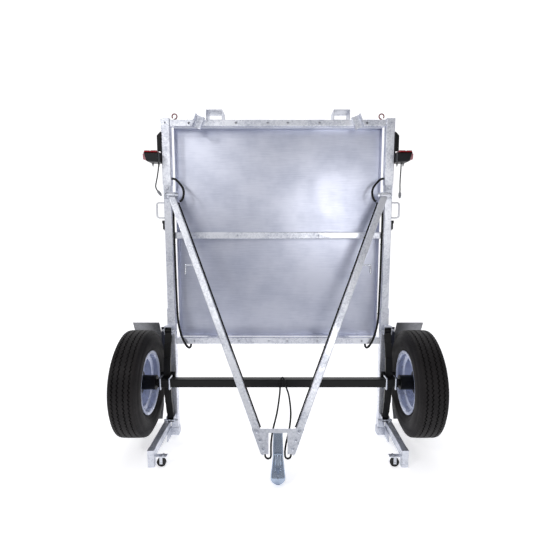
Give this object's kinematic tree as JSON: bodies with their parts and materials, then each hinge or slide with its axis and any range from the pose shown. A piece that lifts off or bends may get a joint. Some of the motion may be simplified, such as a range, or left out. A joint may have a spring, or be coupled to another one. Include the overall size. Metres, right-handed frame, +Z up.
{
  "type": "arrow board trailer",
  "caption": "Fold-up arrow board trailer standing on its rear end: tube frame, lamp board, folding A-frame tongue with coupler, sprung axle, two tyred wheels, casters.",
  "frame": {"origin": "centre of the bounding box on the ground, without the cables", "axes": "+Z up along the rails (towing-forward), -Y the underside of the chassis, X across it"},
  "size_m": [1.88, 0.7616, 1.9581],
  "materials": {
    "galvanised_tube": "satin",
    "galvanised_plate": "satin",
    "zinc_fasteners": "satin",
    "blue_zinc": "satin",
    "red_coat": "gloss",
    "light_handle": "gloss",
    "black_rubber": "matte",
    "black_enamel": "gloss",
    "lamp_shell": "satin",
    "red_lens": "gloss",
    "marker_lens": "gloss",
    "cable_jacket": "satin",
    "grey_plug": "matte",
    "fender_steel": "satin",
    "dark_bracket": "satin",
    "board_sheet": "satin",
    "board_black": "matte",
    "hood_black": "matte",
    "amber_lens": "gloss",
    "tyre": "matte",
    "rim_silver": "gloss"
  },
  "bodies": {
    "chassis": {"rail_left": "galvanised_tube", "rail_right": "galvanised_tube", "rail_sleeves": "galvanised_tube", "foot_brackets": "galvanised_plate", "cross_tube_top": "galvanised_tube", "cross_tube_middle": "galvanised_tube", "cross_tube_bottom": "galvanised_tube", "tongue_brackets": "galvanised_plate", "chassis_bolts": "zinc_fasteners", "tongue_saddles": "galvanised_tube", "stacking_brackets": "galvanised_plate", "tie_hooks": "red_coat", "side_handles": "light_handle", "draw_latches": "black_rubber", "lamp_brackets": "black_enamel", "tail_lamp_housings": "lamp_shell", "tail_lamp_lenses": "red_lens", "marker_lenses": "marker_lens", "lamp_lead_left": "cable_jacket", "lamp_lead_right": "cable_jacket", "lamp_plugs": "grey_plug", "rail_harness": "cable_jacket", "pivot_loops": "cable_jacket", "spring_hangers": "galvanised_plate", "leaf_springs": "black_enamel", "u_bolts": "zinc_fasteners", "tie_plates": "black_enamel", "axle": "black_enamel", "spindles": "black_enamel", "fenders": "fender_steel", "fender_brackets": "dark_bracket", "stand_legs": "galvanised_plate", "frame_hinge_leaves": "galvanised_plate", "hinge_pins": "zinc_fasteners"},
    "board": {"board_pan": "board_sheet", "lamp_cabinet": "board_black", "lamp_hoods": "hood_black", "lamp_lenses": "amber_lens", "board_hinge_leaves": "galvanised_plate"},
    "tongue": {"tongue_tube_left": "galvanised_tube", "tongue_tube_right": "galvanised_tube", "tongue_gusset": "galvanised_plate", "gusset_bolts": "zinc_fasteners", "coupler_body": "blue_zinc", "ball_clamp": "blue_zinc", "tongue_cable": "cable_jacket", "tongue_wires": "cable_jacket"},
    "latch_lever": {"coupler_latch": "blue_zinc"},
    "pin_left": {"hitch_pin_left": "zinc_fasteners"},
    "pin_right": {"hitch_pin_right": "zinc_fasteners"},
    "wheel_left": {"tyre_left": "tyre", "rim_left": "rim_silver", "hub_left": "black_enamel"},
    "wheel_right": {"tyre_right": "tyre", "rim_right": "rim_silver", "hub_right": "black_enamel"},
    "caster_left": {"caster_fork_left": "zinc_fasteners"},
    "caster_right": {"caster_fork_right": "zinc_fasteners"},
    "caster_roller_left": {"caster_wheel_left": "black_rubber"},
    "caster_roller_right": {"caster_wheel_right": "black_rubber"}
  },
  "joints": [
    {"name": "tongue_fold", "type": "hinge", "parent": "chassis", "child": "tongue", "pos_m": [0, 0.12076, 1.473], "axis": [-1, 0, 0], "range_deg": [0, 162.1]},
    {"name": "board_tilt", "type": "hinge", "parent": "chassis", "child": "board", "pos_m": [0, 0.21281, 0.60905], "axis": [-1, 0, 0], "range_deg": [0, 90]},
    {"name": "latch_lift", "type": "hinge", "parent": "tongue", "child": "latch_lever", "pos_m": [0, -0.33918, 0.15882], "axis": [-1, 0, 0], "range_deg": [0, 75]},
    {"name": "pin_pull_left", "type": "slide", "parent": "tongue", "child": "pin_left", "axis": [-1, 0, 0], "range_m": [0, 0.09]},
    {"name": "wheel_spin_left", "type": "hinge", "parent": "chassis", "child": "wheel_left", "pos_m": [-0.812, 0.03776, 0.388], "axis": [1, 0, 0], "continuous": true},
    {"name": "caster_swivel_left", "type": "hinge", "parent": "chassis", "child": "caster_left", "pos_m": [-0.6222, -0.18424, 0.05], "axis": [0, 0, 1], "continuous": true},
    {"name": "caster_roll_left", "type": "hinge", "parent": "caster_left", "child": "caster_roller_left", "pos_m": [-0.6332, -0.18424, 0.025], "axis": [0, 1, 0], "continuous": true},
    {"name": "pin_pull_right", "type": "slide", "parent": "tongue", "child": "pin_right", "axis": [1, 0, 0], "range_m": [0, 0.09]},
    {"name": "wheel_spin_right", "type": "hinge", "parent": "chassis", "child": "wheel_right", "pos_m": [0.812, 0.03776, 0.388], "axis": [1, 0, 0], "continuous": true},
    {"name": "caster_swivel_right", "type": "hinge", "parent": "chassis", "child": "caster_right", "pos_m": [0.6222, -0.18424, 0.05], "axis": [0, 0, 1], "continuous": true},
    {"name": "caster_roll_right", "type": "hinge", "parent": "caster_right", "child": "caster_roller_right", "pos_m": [0.6332, -0.18424, 0.025], "axis": [0, 1, 0], "continuous": true}
  ]
}
